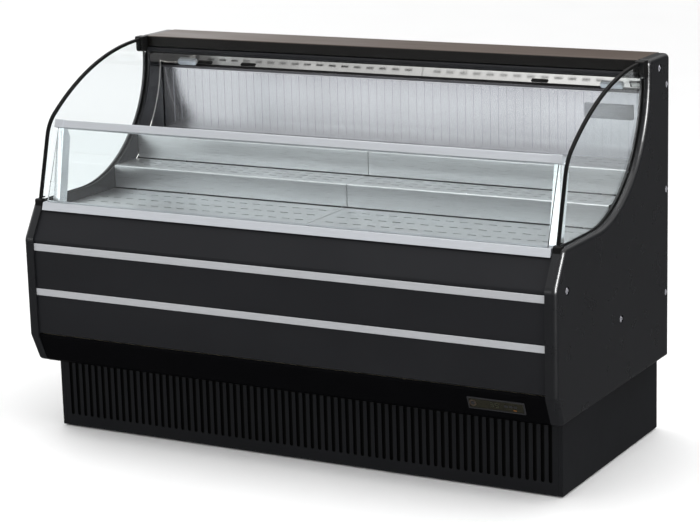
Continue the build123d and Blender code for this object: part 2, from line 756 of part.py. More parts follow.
def lower_rail():
    """Aluminium channel on the sill that the front glass stands in."""
    end = SILL_RAIL_END - FITTING
    return lower_rail_profile((-end, end)) - lean_bar((GLASS_UP[0], 8), (0, GLASS), (-end, end))


def upper_rail():
    """Aluminium channel along the top edge of the front glass."""
    end = UPPER_RAIL_END - UPPER_FITTING
    rail = lean_bar(RAIL_UP, RAIL_INWARD, (-end, end))
    rail = fillet(rail.edges().filter_by(Axis.X), 2)
    return rail - front_glass()


def rail_end_fittings():
    """Square end fittings of both rails."""
    low = lower_rail_profile((SILL_RAIL_END - FITTING, SILL_RAIL_END))
    start = UPPER_RAIL_END - UPPER_FITTING
    proud = (RAIL_INWARD[0] - 1, RAIL_INWARD[1])
    high = lean_bar((RAIL_UP[0], RAIL_UP[1] + 1), proud, (start, UPPER_RAIL_END))
    high = fillet(high.edges().filter_by(Axis.X), 1.5)
    return both_ends(together([low, high - front_glass()]))


POST_FOOT_Z = 604.0
POST_FOOT_Y = (-273.5, -239.5)
POST_BACK = (-206.5, 782.0)
POST_TOP_INWARD = 9.7


def glass_posts():
    """Posts behind the front glass, steeper than it, that carry the upper rail."""
    corners = [
        (POST_FOOT_Y[0], POST_FOOT_Z),
        lean(RAIL_UP[0], POST_TOP_INWARD),
        lean(RAIL_UP[0], RAIL_INWARD[1]),
        POST_BACK,
        (POST_FOOT_Y[1], POST_FOOT_Z),
    ]
    return both_ends(prism(corners, POST_X))


# ---------------------------------------------------------------- canopy
def canopy_top():
    """Folded top cover between the end panels."""
    line = [(CANOPY_FRONT + 10, 963), (CANOPY_FRONT, 963), (CANOPY_FRONT, HEIGHT)]
    line += [(REAR_SKIN + 1.8, HEIGHT), (REAR_SKIN + 1.8, 948)]
    return folded_sheet(line[::-1], SHEET, (-SPAN, SPAN), bend=2.5)


def canopy_lip():
    """Rounded grip rail under the canopy's front edge."""
    lip = block((-SPAN, SPAN), (CANOPY_FRONT - 4, CANOPY_FRONT + 12), (950, 962.8))
    return fillet(lip.edges().filter_by(Axis.X).group_by(Axis.Y)[0], 5)


def discharge_honeycomb():
    """Air outlet behind the lip, that blows the cold curtain down."""
    comb = block((-SPAN + 2, SPAN - 2), (CANOPY_FRONT + 12.2, 262), (945, 962))
    count = 60
    for index in range(count):
        x = (index - (count - 1) / 2) * 23.5
        comb -= block((x - 10, x + 10), (CANOPY_FRONT + 17, 257), (940, 970))
    return comb


REFLECTOR = [(257.0, 943.0), (282.4, 905.0)]
SWITCH_X = 700.0


def reflector_plane():
    """Working plane on the reflector: X across, Y up the slope, Z out to the front and down."""
    (top_y, top_z), (low_y, low_z) = REFLECTOR
    length = hypot(low_y - top_y, low_z - top_z)
    middle = (SWITCH_X, (top_y + low_y) / 2, (top_z + low_z) / 2)
    outwards = (0, (low_z - top_z) / length, -(low_y - top_y) / length)
    return Plane(origin=middle, x_dir=(1, 0, 0), z_dir=outwards)


def reflector():
    """Polished slanting reflector over the display, with the lamp switch's cut-out."""
    sheet = folded_sheet(REFLECTOR, 1.2, (-SPAN + 2, SPAN - 2))
    return sheet - reflector_plane() * Box(29, 15, 8)


def lamp_housing():
    """Slim lamp channel at the top of the back wall, open below."""
    x = (-SPAN + 2, SPAN - 2)
    housing = block(x, (275, DUCT_Y - 1.2), (LAMP_Z, LAMP_Z + 4.5))
    return housing - block((-690, 690), (276.2, 281.6), (LAMP_Z - 5, LAMP_Z + 3.3))


def lamp_lens():
    lens = block((-689.5, 689.5), (276.6, 281.2), (LAMP_Z - 1.2, LAMP_Z + 3))
    return fillet(lens.edges().filter_by(Axis.X).group_by(Axis.Z)[0], 1)


ROCKER_TILT = 6.0
ROCKER_Z = 1.2
PIVOT_R = 1.2
PIVOT_CLEARANCE = 0.05


def switch_body():
    """Frame and case of the lamp switch, clipped into the reflector, bored for the rocker's pivot."""
    frame = Pos(0, 0, 1.2) * Box(32, 18, 2) + Pos(0, 0, -5) * Box(28.6, 14.6, 12.4)
    frame -= Box(25, 11, 14)
    frame -= Pos(0, 0, ROCKER_Z) * Cylinder(PIVOT_R + PIVOT_CLEARANCE, 13.6, rotation=(90, 0, 0))
    return reflector_plane() * frame


def lamp_switch():
    """Rocker of the lamp switch on its round pivot, resting on its off side."""
    rocker = Box(22, 9.6, 6)
    rocker = fillet(rocker.edges().filter_by(Axis.Y), 2)
    rocker += Cylinder(PIVOT_R, 13, rotation=(90, 0, 0))
    return reflector_plane() * Pos(0, 0, ROCKER_Z) * Rot(0, ROCKER_TILT, 0) * rocker


# ---------------------------------------------------------------- write every node
def main():
    os.makedirs("parts", exist_ok=True)
    save("base_frame", base_frame())
    save("levelling_feet", levelling_feet())
    save("base_side_left", base_side(-1))
    save("base_side_right", base_side(1))
    save("kick_grille", kick_grille())
    save("rear_grille", rear_grille())
    save("compressor", compressor())
    save("condenser_coil", condenser_coil())
    save("condenser_shroud", condenser_shroud())
    save("condenser_fan_blade", fan_blade(COND_FAN_X, SHROUD_Y + 14, COND_FAN_Z, COND_FAN_R, 24))
    save("condensate_pan", condensate_pan())
    save("refrigerant_pipes", refrigerant_pipes())

    save("cabinet_floor", cabinet_floor())
    save("foam_insulation", foam_insulation())
    save("tub_liner", tub_liner())
    save("rear_panel", rear_panel())
    save("front_panel", front_panel())
    for name, z in STRIPES.items():
        save(name, trim_strip(z))
    save("lower_fascia", lower_fascia())
    save("controller_bezel", controller_bezel())
    save("controller_window", controller_window())
    save("controller_body", controller_body())
    save("set_button", set_button())

    save("evaporator_coil", evaporator_coil())
    save("evaporator_fan_plate", evaporator_fan_plate())
    save("fan_motors", fan_motors())
    for side, x in (("left", -EVAP_FAN_X), ("right", EVAP_FAN_X)):
        save(f"evaporator_fan_blade_{side}", fan_blade(x, FAN_PLATE_Y + 14, EVAP_FAN_Z, EVAP_FAN_R, 28))
    save("rear_duct_panel", rear_duct_panel())
    for name, level in (("deck_pan", DECK), ("middle_step", MIDDLE_STEP), ("top_step", TOP_STEP)):
        save(f"{name}_left", display_pan(level, (-PAN_END, -PAN_GAP)))
        save(f"{name}_right", display_pan(level, (PAN_GAP, PAN_END)))
    save("step_supports", step_supports())
    save("return_air_grille", return_air_grille())

    for side, sign in (("left", -1), ("right", 1)):
        save(f"end_panel_{side}", end_panel(sign))
        save(f"side_glass_{side}", side_glass(sign))
    save("end_liners", end_liners())
    save("glass_channels", glass_channels())
    save("glass_edge_trims", glass_edge_trims())
    save("glass_clamps", glass_clamps())
    save("screws", screws())

    save("front_glass", front_glass())
    save("lower_rail", lower_rail())
    save("upper_rail", upper_rail())
    save("rail_end_fittings", rail_end_fittings())
    save("glass_posts", glass_posts())

    save("canopy_top", canopy_top())
    save("canopy_lip", canopy_lip())
    save("discharge_honeycomb", discharge_honeycomb())
    save("reflector", reflector())
    save("lamp_housing", lamp_housing())
    save("lamp_lens", lamp_lens())
    save("switch_body", switch_body())
    save("lamp_switch", lamp_switch())


main()
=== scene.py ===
import json
from math import cos, pi, radians, sin
from mathutils import Matrix, Vector
import bmesh
import bpy


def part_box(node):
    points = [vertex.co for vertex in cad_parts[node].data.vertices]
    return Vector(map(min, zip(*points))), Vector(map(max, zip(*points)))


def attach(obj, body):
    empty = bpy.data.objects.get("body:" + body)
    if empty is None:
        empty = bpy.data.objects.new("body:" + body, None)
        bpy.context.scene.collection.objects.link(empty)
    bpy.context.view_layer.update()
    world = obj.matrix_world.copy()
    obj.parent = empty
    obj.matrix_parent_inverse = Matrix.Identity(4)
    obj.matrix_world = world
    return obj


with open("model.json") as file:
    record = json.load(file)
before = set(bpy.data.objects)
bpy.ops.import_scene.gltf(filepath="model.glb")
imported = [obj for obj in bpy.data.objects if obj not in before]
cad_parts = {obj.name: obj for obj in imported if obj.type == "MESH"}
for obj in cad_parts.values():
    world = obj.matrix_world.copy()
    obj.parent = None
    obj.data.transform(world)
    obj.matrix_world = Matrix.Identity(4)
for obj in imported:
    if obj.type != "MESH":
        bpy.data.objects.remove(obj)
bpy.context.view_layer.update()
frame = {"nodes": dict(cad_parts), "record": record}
NODES = frame["nodes"]

# ---------------------------------------------------------------- node material helpers


class Shader:
    """A Principled material with small helpers for textures in object coordinates (metres)."""

    def __init__(self, name, colour, roughness, metallic=0.0, **sockets):
        self.material = bpy.data.materials.new(name)
        self.material.use_nodes = True
        self.tree = self.material.node_tree
        self.surface = self.tree.nodes["Principled BSDF"]
        self.set("Base Color", (*colour, 1.0))
        self.set("Roughness", roughness)
        self.set("Metallic", metallic)
        for socket, value in sockets.items():
            self.set(socket.replace("_", " "), value)
        self.place = self.tree.nodes.new("ShaderNodeTexCoord").outputs["Object"]

    def set(self, socket, value):
        self.surface.inputs[socket].default_value = value

    def link(self, source, target):
        self.tree.links.new(source, target)

    def node(self, kind, **values):
        made = self.tree.nodes.new(kind)
        for key, value in values.items():
            setattr(made, key, value)
        return made

    def stretched(self, stretch):
        """Object coordinates scaled along each axis, for streaks and brushing."""
        mapping = self.node("ShaderNodeMapping")
        mapping.inputs["Scale"].default_value = stretch
        self.link(self.place, mapping.inputs["Vector"])
        return mapping.outputs["Vector"]

    def noise(self, scale, stretch=(1, 1, 1), detail=3.0, roughness=0.5):
        texture = self.node("ShaderNodeTexNoise")
        texture.inputs["Scale"].default_value = scale
        texture.inputs["Detail"].default_value = detail
        texture.inputs["Roughness"].default_value = roughness
        self.link(self.stretched(stretch), texture.inputs["Vector"])
        return texture.outputs["Fac"]

    def cells(self, scale, output="Distance"):
        texture = self.node("ShaderNodeTexVoronoi")
        texture.inputs["Scale"].default_value = scale
        self.link(self.place, texture.inputs["Vector"])
        return texture.outputs[output]

    def ramp(self, value, low, high, start=0.3, end=0.7):
        """A value remapped from start..end to low..high."""
        remap = self.node("ShaderNodeMapRange")
        for socket, number in (("From Min", start), ("From Max", end), ("To Min", low), ("To Max", high)):
            remap.inputs[socket].default_value = number
        self.link(value, remap.inputs["Value"])
        return remap.outputs["Result"]

    def blend_colour(self, value, dark, light):
        mix = self.node("ShaderNodeMix", data_type="RGBA")
        mix.inputs["A"].default_value = (*dark, 1.0)
        mix.inputs["B"].default_value = (*light, 1.0)
        self.link(value, mix.inputs["Factor"])
        self.link(mix.outputs["Result"], self.surface.inputs["Base Color"])

    def cloud_colour(self, texture, colour, darkest, lightest):
        """The colour varied by a noise between two factors of itself."""
        self.blend_colour(self.ramp(texture, 0, 1), tint(colour, darkest), tint(colour, lightest))

    def roughness(self, value):
        self.link(value, self.surface.inputs["Roughness"])

    def bump(self, height, strength, distance):
        relief = self.node("ShaderNodeBump")
        relief.inputs["Strength"].default_value = strength
        relief.inputs["Distance"].default_value = distance
        self.link(height, relief.inputs["Height"])
        previous = self.surface.inputs["Normal"].links
        if previous:
            self.link(previous[0].from_socket, relief.inputs["Normal"])
        self.link(relief.outputs["Normal"], self.surface.inputs["Normal"])


def shade(name):
    """The record's own colour of a material slot."""
    for material in frame["record"]["materials"]:
        if material["slot"] == name:
            return material["base_color"][:3]
    raise KeyError(name)


def tint(colour, factor):
    """The colour made darker or lighter, each channel at most 1."""
    return tuple(min(1.0, channel * factor) for channel in colour)


# ---------------------------------------------------------------- materials


def powder_coat(slot, roughness=0.42, gloss=0.22):
    """Satin powder coat: fine orange peel and faint wiping marks."""
    colour = shade(slot)
    paint = Shader(slot, colour, roughness, Specular_IOR_Level=gloss)
    paint.cloud_colour(paint.noise(3, stretch=(0.5, 1, 1.6), detail=4), colour, 0.9, 1.12)
    paint.roughness(paint.ramp(paint.noise(8, detail=5), roughness - 0.04, roughness + 0.05))
    paint.bump(paint.noise(900, detail=1), 0.10, 0.0004)
    return paint.material


# Painted light: the warm, lighter brown given to the canopy's upward faces.
PAINTED_TOP_LIGHT = (0.066, 0.046, 0.035)


def canopy_paint(slot):
    """Dark bronze coating with painted light: its upright faces painted near black as shade, its top
    painted a warmer, lighter brown as light falling on it.
    """
    colour = shade(slot)
    paint = Shader(slot, colour, 0.34, Specular_IOR_Level=0.2)
    up = paint.node("ShaderNodeSeparateXYZ")
    paint.link(paint.node("ShaderNodeNewGeometry").outputs["Normal"], up.inputs["Vector"])
    facing_up = paint.ramp(up.outputs["Z"], 0, 1, 0.5, 0.9)
    # Painted light and shade: upright faces darkened to near black, upward faces given the painted top
    # light colour.
    paint.blend_colour(facing_up, tint(colour, 0.12), PAINTED_TOP_LIGHT)
    paint.roughness(paint.ramp(paint.noise(9, stretch=(0.3, 1, 1), detail=5), 0.30, 0.42))
    paint.bump(paint.noise(900, detail=1), 0.08, 0.0004)
    return paint.material


def grained_plastic(slot, roughness=0.45, grain=1400, depth=0.2, gloss=0.22, mottle=1.0):
    """Moulded plastic with a fine grain; mottle scales the patches of uneven gloss."""
    colour = shade(slot)
    plastic = Shader(slot, colour, roughness, Specular_IOR_Level=gloss)
    plastic.cloud_colour(plastic.noise(4, detail=4), colour, 0.94, 1.07)
    patches = plastic.noise(16, detail=5)
    plastic.roughness(plastic.ramp(patches, roughness - 0.04 * mottle, roughness + 0.05 * mottle))
    plastic.bump(plastic.noise(grain, detail=1), depth, 0.0003)
    return plastic.material


def smooth_plastic(slot, roughness=0.25, gloss=0.5):
    """Smooth plastic or painted face with slightly uneven gloss."""
    colour = shade(slot)
    plastic = Shader(slot, colour, roughness, Specular_IOR_Level=gloss)
    plastic.cloud_colour(plastic.noise(20, detail=4), colour, 0.9, 1.1)
    plastic.roughness(plastic.ramp(plastic.noise(30, detail=6), roughness - 0.04, roughness + 0.08))
    return plastic.material


def brushed_metal(slot, roughness=0.28, along=(1, 60, 60), metallic=1.0):
    """Brushed sheet or extrusion: long fine streaks in roughness, tone and relief."""
    colour = shade(slot)
    metal = Shader(slot, colour, roughness, metallic=metallic, Anisotropic=0.4)
    streak = metal.noise(22, stretch=along, detail=6, roughness=0.65)
    metal.cloud_colour(streak, colour, 0.92, 1.06)
    metal.roughness(metal.ramp(streak, roughness - 0.05, roughness + 0.08))
    metal.bump(streak, 0.08, 0.0003)
    return metal.material


def satin_wall(slot):
    """Satin steel wall that mirrors softly, with faint upright brushing and cloudy wiping marks."""
    colour = shade(slot)
    metal = Shader(slot, colour, 0.22, metallic=1.0)
    metal.cloud_colour(metal.noise(1.2, stretch=(3, 1, 1)), colour, 0.96, 1.03)
    brush = metal.noise(30, stretch=(20, 1, 0.4), detail=4)
    metal.roughness(metal.ramp(brush, 0.20, 0.26))
    metal.bump(brush, 0.015, 0.0002)
    return metal.material


def galvanised_sheet(slot):
    """Zinc-coated sheet with its spangle."""
    colour = shade(slot)
    zinc = Shader(slot, colour, 0.42, metallic=0.85)
    spangle = zinc.cells(120, output="Color")
    zinc.blend_colour(zinc.ramp(spangle, 0, 1, 0.0, 1.0), tint(colour, 0.92), tint(colour, 1.06))
    zinc.roughness(zinc.ramp(spangle, 0.34, 0.52, 0.0, 1.0))
    zinc.bump(zinc.noise(120, detail=3), 0.05, 0.0005)
    return zinc.material


def clear_glass(slot):
    """Clear tempered glass with a trace of wiping haze."""
    glass = Shader(slot, shade(slot), 0.02, Transmission_Weight=1.0, IOR=1.45)
    glass.roughness(glass.ramp(glass.noise(5, detail=4), 0.0, 0.02))
    return glass.material


def mirror_metal(slot):
    """Polished metal with streaky gloss and a slight waviness."""
    metal = Shader(slot, shade(slot), 0.06, metallic=1.0)
    metal.roughness(metal.ramp(metal.noise(14, stretch=(0.3, 1, 1), detail=4), 0.03, 0.12))
    metal.bump(metal.noise(9, stretch=(0.4, 1, 1)), 0.08, 0.002)
    return metal.material


def soft_rubber(slot):
    """Matt rubber, darker than the record's colour because it catches so little light."""
    colour = shade(slot)
    rubber = Shader(slot, colour, 0.6, Specular_IOR_Level=0.1)
    rubber.cloud_colour(rubber.noise(60), colour, 0.4, 0.7)
    rubber.roughness(rubber.ramp(rubber.noise(90), 0.5, 0.7))
    rubber.bump(rubber.noise(2500, detail=1), 0.12, 0.0002)
    return rubber.material


FINISHES = {
    "panel_black": (powder_coat, {"gloss": 0.15}),
    "end_black": (grained_plastic, {"roughness": 0.28, "depth": 0.015, "gloss": 0.35, "mottle": 0.3}),
    "fascia_black": (smooth_plastic, {"roughness": 0.35, "gloss": 0.05}),
    "grille_black": (powder_coat, {"roughness": 0.45, "gloss": 0.15}),
    "canopy_bronze": (canopy_paint, {}),
    "liner_black": (powder_coat, {"roughness": 0.18, "gloss": 0.5}),
    "honeycomb_black": (grained_plastic, {"roughness": 0.4, "gloss": 0.15}),
    "rubber_black": (soft_rubber, {}),
    "galvanised": (galvanised_sheet, {}),
    "frame_steel": (powder_coat, {"roughness": 0.5}),
    "stainless": (brushed_metal, {"roughness": 0.3}),
    "rear_wall_steel": (satin_wall, {}),
    "polished": (mirror_metal, {}),
    "rail_aluminium": (brushed_metal, {"roughness": 0.42, "metallic": 0.6}),
    "post_silver": (brushed_metal, {"roughness": 0.28}),
    "stripe_silver": (brushed_metal, {"roughness": 0.4, "metallic": 0.3}),
    "clear_glass": (clear_glass, {}),
    "foam": (grained_plastic, {"roughness": 0.8, "grain": 500}),
    "bezel_grey": (grained_plastic, {"roughness": 0.4}),
    "window_tint": (smooth_plastic, {"roughness": 0.08}),
    "button_white": (smooth_plastic, {"roughness": 0.3}),
    "compressor_black": (powder_coat, {"roughness": 0.35}),
    "coil_fins": (brushed_metal, {"roughness": 0.4, "along": (60, 1, 1)}),
    "copper": (brushed_metal, {"roughness": 0.3}),
    "fan_plastic": (grained_plastic, {"roughness": 0.4}),
    "lamp_channel": (brushed_metal, {"roughness": 0.4}),
    "lamp_diffuser": (smooth_plastic, {"roughness": 0.35}),
    "screw_steel": (brushed_metal, {"roughness": 0.35, "along": (1, 1, 1), "metallic": 0.4}),
    "foot_rubber": (soft_rubber, {}),
}
MATERIALS = {slot: make(slot, **options) for slot, (make, options) in FINISHES.items()}


def small_detail(name, colour, roughness):
    """Small printed or moulded detail in a colour of its own."""
    mark = Shader(name, colour, roughness)
    mark.cloud_colour(mark.noise(400), colour, 0.85, 1.1)
    mark.roughness(mark.ramp(mark.noise(300), roughness - 0.05, roughness + 0.08))
    return mark.material


def filter_mat(name, slot):
    """Open-cell black filter mat: matt, with visible cells."""
    colour = shade(slot)
    mat = Shader(name, colour, 0.9, Specular_IOR_Level=0.1)
    cell = mat.cells(700)
    mat.blend_colour(mat.ramp(cell, 0, 1, 0.0, 0.6), tint(colour, 0.2), tint(colour, 0.9))
    mat.roughness(mat.ramp(cell, 0.8, 1.0, 0.0, 0.6))
    mat.bump(cell, 0.6, 0.0008)
    return mat.material


MATERIALS["filter_mat"] = filter_mat("filter_mat", "rubber_black")
DETAILS = {
    "dial_ring": ((0.040, 0.026, 0.016), 0.35),
    "faint_digits": ((0.030, 0.034, 0.018), 0.3),
    "amber_lamp": ((0.22, 0.08, 0.015), 0.25),
    "cover_grey": ((0.30, 0.31, 0.33), 0.4),
    "socket_clear": ((0.50, 0.55, 0.60), 0.15),
}
for name, (colour, roughness) in DETAILS.items():
    MATERIALS[name] = small_detail(name, colour, roughness)

for entry in frame["record"]["subparts"]:
    mesh = NODES[entry["node"]].data
    mesh.materials.clear()
    mesh.materials.append(MATERIALS[entry["material_slot"]])

# ---------------------------------------------------------------- small pieces in mesh code


def add_piece(name, bm, slot, body, material=None, smooth=True):
    """Turn finished mesh code into a piece that rides on a body and takes its finish from a slot."""
    mesh = bpy.data.meshes.new(name)
    bmesh.ops.recalc_face_normals(bm, faces=bm.faces)
    bm.to_mesh(mesh)
    bm.free()
    if smooth:
        mesh.shade_smooth()
        mesh.set_sharp_from_angle(angle=radians(35))
    piece = bpy.data.objects.new(name, mesh)
    bpy.context.scene.collection.objects.link(piece)
    mesh.materials.append(material or MATERIALS[slot])
    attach(piece, body)


def add_slab(bm, outline, thickness, place, ease=0.0):
    """A flat outline raised to a thickness in its own plane, with eased upper edges."""
    base = [bm.verts.new(place @ Vector((x, y, 0))) for x, y in outline]
    top = [bm.verts.new(place @ Vector((x, y, thickness))) for x, y in outline]
    count = len(outline)
    bm.faces.new(base[::-1])
    lid = bm.faces.new(top)
    for index in range(count):
        after = (index + 1) % count
        bm.faces.new((base[index], base[after], top[after], top[index]))
    if ease:
        bmesh.ops.bevel(bm, geom=list(lid.edges), offset=ease, segments=2, affect="EDGES", profile=0.5)


def box_outline(width, height, centre):
    """The four corners of a box, counter-clockwise."""
    x, y = centre
    return [(x - width / 2, y - height / 2), (x + width / 2, y - height / 2),
            (x + width / 2, y + height / 2), (x - width / 2, y + height / 2)]


def round_outline(radius, centre, sides):
    """A circle as a polygon."""
    steps = [2 * pi * index / sides for index in range(sides)]
    return [(centre[0] + radius * cos(a), centre[1] + radius * sin(a)) for a in steps]


def rounded_outline(width, height, radius, centre=(0.0, 0.0), steps=5):
    """A box outline with rounded corners."""
    points = []
    corners = ((1, 1, 0), (-1, 1, 90), (-1, -1, 180), (1, -1, 270))
    for side_x, side_y, start in corners:
        x = centre[0] + side_x * (width / 2 - radius)
        y = centre[1] + side_y * (height / 2 - radius)
        for step in range(steps + 1):
            angle = radians(start + 90 * step / steps)
            points.append((x + radius * cos(angle), y + radius * sin(angle)))
    return points


def add_tube(bm, path, radius, sides=12):
    """A round tube along a list of points."""
    rings = []
    for index, point in enumerate(path):
        before = path[max(index - 1, 0)]
        after = path[min(index + 1, len(path) - 1)]
        along = (after - before).normalized()
        side = along.cross(Vector((0.31, 0.17, 0.93))).normalized()
        up = side.cross(along)
        angles = [2 * pi * step / sides for step in range(sides)]
        rings.append([bm.verts.new(point + (side * cos(a) + up * sin(a)) * radius) for a in angles])
    for ring, following in zip(rings, rings[1:]):
        for step in range(sides):
            after = (step + 1) % sides
            bm.faces.new((ring[step], ring[after], following[after], following[step]))
    bm.faces.new(rings[0][::-1])
    bm.faces.new(rings[-1])


def plane_matrix(origin, across, out):
    """Placement whose X runs across, Z points out of the surface and Y goes up it."""
    x = Vector(across).normalized()
    z = Vector(out).normalized()
    y = z.cross(x)
    turn = Matrix((x, y, z)).transposed().to_4x4()
    return Matrix.Translation(origin) @ turn


def middle_of(node):
    """Centre of a node's box."""
    low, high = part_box(node)
    return (Vector(low) + Vector(high)) / 2


# ---------------------------------------------------------------- base grille filter


def make_filter():
    """Pleated black filter mat clipped behind the slots of the front base grille."""
    low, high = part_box("kick_grille")
    pitch = 0.0103
    margin = 0.006
    front = low[1] + 0.0022
    depth = 0.0045
    thickness = 0.0015
    edge = 0.004
    count = int((high[0] - low[0] - 2 * margin) / pitch)
    bm = bmesh.new()
    columns = []
    for index in range(count + 1):
        x = low[0] + margin + index * pitch
        y = front + (depth if index % 2 else 0.0)
        corners = [(x, y + back, z) for back in (0.0, thickness) for z in (low[2] + edge, high[2] - edge)]
        columns.append([bm.verts.new(corner) for corner in corners])
    for here, after in zip(columns, columns[1:]):
        bm.faces.new((here[0], after[0], after[1], here[1]))
        bm.faces.new((here[2], here[3], after[3], after[2]))
        bm.faces.new((here[0], here[2], after[2], after[0]))
        bm.faces.new((here[1], after[1], after[3], here[3]))
    first, last = columns[0], columns[-1]
    bm.faces.new((first[0], first[1], first[3], first[2]))
    bm.faces.new((last[0], last[2], last[3], last[1]))
    add_piece("grille_filter", bm, "rubber_black", "kick_grille", MATERIALS["filter_mat"], smooth=False)


# ---------------------------------------------------------------- controller face
SLOPE_OUT = (0.0, -0.9247, -0.3807)
DIGITS = {"3": "abcdg", "5": "acdfg"}
DIGIT_HEIGHT = 0.013
DIGIT_WIDTH = 0.0075
STROKE = 0.0016


def digit_outlines(digit, centre):
    """The lit strokes of a seven-stroke digit, slightly shortened so that gaps show between them."""
    x, y = centre
    half = DIGIT_HEIGHT / 2
    quarter = DIGIT_HEIGHT / 4
    side = DIGIT_WIDTH / 2
    flat = (DIGIT_WIDTH - STROKE, STROKE)
    upright = (STROKE, half - STROKE)
    strokes = {
        "a": (flat, (0, half)), "g": (flat, (0, 0)), "d": (flat, (0, -half)),
        "b": (upright, (side, quarter)), "c": (upright, (side, -quarter)),
        "f": (upright, (-side, quarter)), "e": (upright, (-side, -quarter)),
    }
    wanted = [strokes[letter] for letter in DIGITS[digit]]
    return [box_outline(*size, (x + at[0], y + at[1])) for size, at in wanted]


WINDOW_SKIN = 0.0011
RING_SIDES = 40
RING_PROFILE = ((0.0093, 0.0), (0.0093, 0.0008), (0.0088, 0.0012), (0.0061, 0.0012), (0.0056, 0.0008),
                (0.0056, 0.0))


def make_dial_ring(face, left):
    """Eased ring round the set button, given as (radius, height) pairs."""
    bm = bmesh.new()
    rows = []
    for radius, height in RING_PROFILE:
        outline = round_outline(radius, (left, 0.0), RING_SIDES)
        rows.append([bm.verts.new(face @ Vector((x, y, height))) for x, y in outline])
    for here, after in zip(rows, rows[1:]):
        for index in range(RING_SIDES):
            beside = (index + 1) % RING_SIDES
            bm.faces.new((here[index], here[beside], after[beside], after[index]))
    add_piece("controller_dial_ring", bm, "copper", "cabinet", MATERIALS["dial_ring"])


def make_digits(face):
    """Two generic digits and a degree dot."""
    raised = 0.0003
    bm = bmesh.new()
    for digit, x in (("3", -0.012), ("5", 0.001)):
        for outline in digit_outlines(digit, (x, 0.001)):
            add_slab(bm, outline, raised, face)
    add_slab(bm, round_outline(0.0011, (0.0085, 0.0065), 12), raised, face)
    add_piece("controller_digits", bm, "button_white", "cabinet", MATERIALS["faint_digits"])


def make_keys(face):
    """Three small key caps to the right of the digits."""
    bm = bmesh.new()
    for x in (0.026, 0.038, 0.050):
        add_slab(bm, rounded_outline(0.0085, 0.0062, 0.0015, (x, 0.0015)), 0.0006, face, ease=0.0002)
    add_piece("controller_keys", bm, "bezel_grey", "cabinet")


def make_status_lamp(face):
    """Slim amber lamp under the keys."""
    bm = bmesh.new()
    add_slab(bm, rounded_outline(0.009, 0.0022, 0.0008, (0.048, -0.0085)), 0.0004, face)
    add_piece("controller_status_lamp", bm, "copper", "cabinet", MATERIALS["amber_lamp"])


def make_controller_face():
    """Dial ring, digits, key caps and status lamp on the controller's window."""
    button = middle_of("set_button")
    window = middle_of("controller_window")
    face = plane_matrix(window + Vector(SLOPE_OUT) * WINDOW_SKIN, (1, 0, 0), SLOPE_OUT)
    make_dial_ring(face, button[0] - window[0])
    make_digits(face)
    make_keys(face)
    make_status_lamp(face)


# ---------------------------------------------------------------- lamp fittings under the canopy
SOCKETS_AT = (-0.636, 0.636)
CLIPS_AT = (-0.578, -0.438, 0.438)
FITTINGS_DOWN = 0.006
HALF_REFLECTOR_SHEET = 0.0006


def make_lamp_fittings():
    """Clear lead sockets and dark clips of the lamp, fixed to the reflector."""
    low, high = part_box("reflector")
    down = Vector((0, high[1] - low[1], low[2] - high[2]))
    out = down.cross(Vector((1, 0, 0))).normalized()
    middle = (Vector(low) + Vector(high)) / 2
    line = Vector((0, middle[1], middle[2])) + down.normalized() * FITTINGS_DOWN
    line += out * HALF_REFLECTOR_SHEET

    def on_reflector(x):
        """Placement on the face of the reflector, a little below its middle line."""
        return plane_matrix(line + Vector((x, 0, 0)), (1, 0, 0), out)

    sockets = bmesh.new()
    for x in SOCKETS_AT:
        add_slab(sockets, rounded_outline(0.056, 0.015, 0.003), 0.007, on_reflector(x), ease=0.0012)
    add_piece("lamp_sockets", sockets, "lamp_diffuser", "cabinet", MATERIALS["socket_clear"])

    clips = bmesh.new()
    for x in CLIPS_AT:
        add_slab(clips, rounded_outline(0.046, 0.006, 0.002), 0.004, on_reflector(x), ease=0.001)
    add_piece("lamp_clips", clips, "honeycomb_black", "cabinet")


# ---------------------------------------------------------------- bright edge strips of the end linings
STRIP_BEHIND_SEAT = 0.054
STRIP_HALF_WIDTH = 0.0018
STRIP_RISE = 0.0012
LINER_SHEET = 0.002
# Arcs of the glass seat in the Y-Z plane: centre, radius, first and last angle, number of spaces
SEAT_ARCS = (
    ((-0.115, 0.968), 0.342, -68, -30, 12),
    ((-0.0804, 0.948), 0.302, -30, -2, 10),
)


def strip_path():
    """Points of the strip in the Y-Z plane, running behind the seat of the side glass."""
    points = []
    for (centre_y, centre_z), radius, first, last, spaces in SEAT_ARCS:
        reach = radius + STRIP_BEHIND_SEAT
        for step in range(1 if points else 0, spaces + 1):
            angle = radians(first + (last - first) * step / spaces)
            points.append((centre_y + reach * cos(angle), centre_z + reach * sin(angle)))
    return points


def add_strip(bm, points, wall, inwards):
    """Low trapezoid strip swept along the path, on the inner face at x = wall."""
    half = STRIP_HALF_WIDTH
    profile = ((-half, 0.0), (-half * 0.6, STRIP_RISE), (half * 0.6, STRIP_RISE), (half, 0.0))
    rows = []
    for index, (y, z) in enumerate(points):
        before = points[max(index - 1, 0)]
        after = points[min(index + 1, len(points) - 1)]
        along = Vector((0, after[0] - before[0], after[1] - before[1])).normalized()
        across = along.cross(Vector((1, 0, 0)))
        centre = Vector((wall, y, z))
        rows.append([bm.verts.new(centre + across * a + inwards * b) for a, b in profile])
    for here, beside in zip(rows, rows[1:]):
        for index in range(4):
            after = (index + 1) % 4
            bm.faces.new((here[index], here[after], beside[after], beside[index]))
    bm.faces.new(rows[0])
    bm.faces.new(rows[-1][::-1])


def make_lining_strips():
    """Narrow bright strips on the inner walls, following the curve of the glass seat."""
    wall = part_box("end_liners")[1][0] - LINER_SHEET
    bm = bmesh.new()
    for side in (-1, 1):
        add_strip(bm, strip_path(), side * wall, Vector((-side, 0, 0)))
    add_piece("lining_strips", bm, "polished", "cabinet")


# ---------------------------------------------------------------- back wall fittings


COVER_X = 0.623
COVER_Z = 0.848
LOUVRES = 5
LOUVRE_PITCH = 0.0065


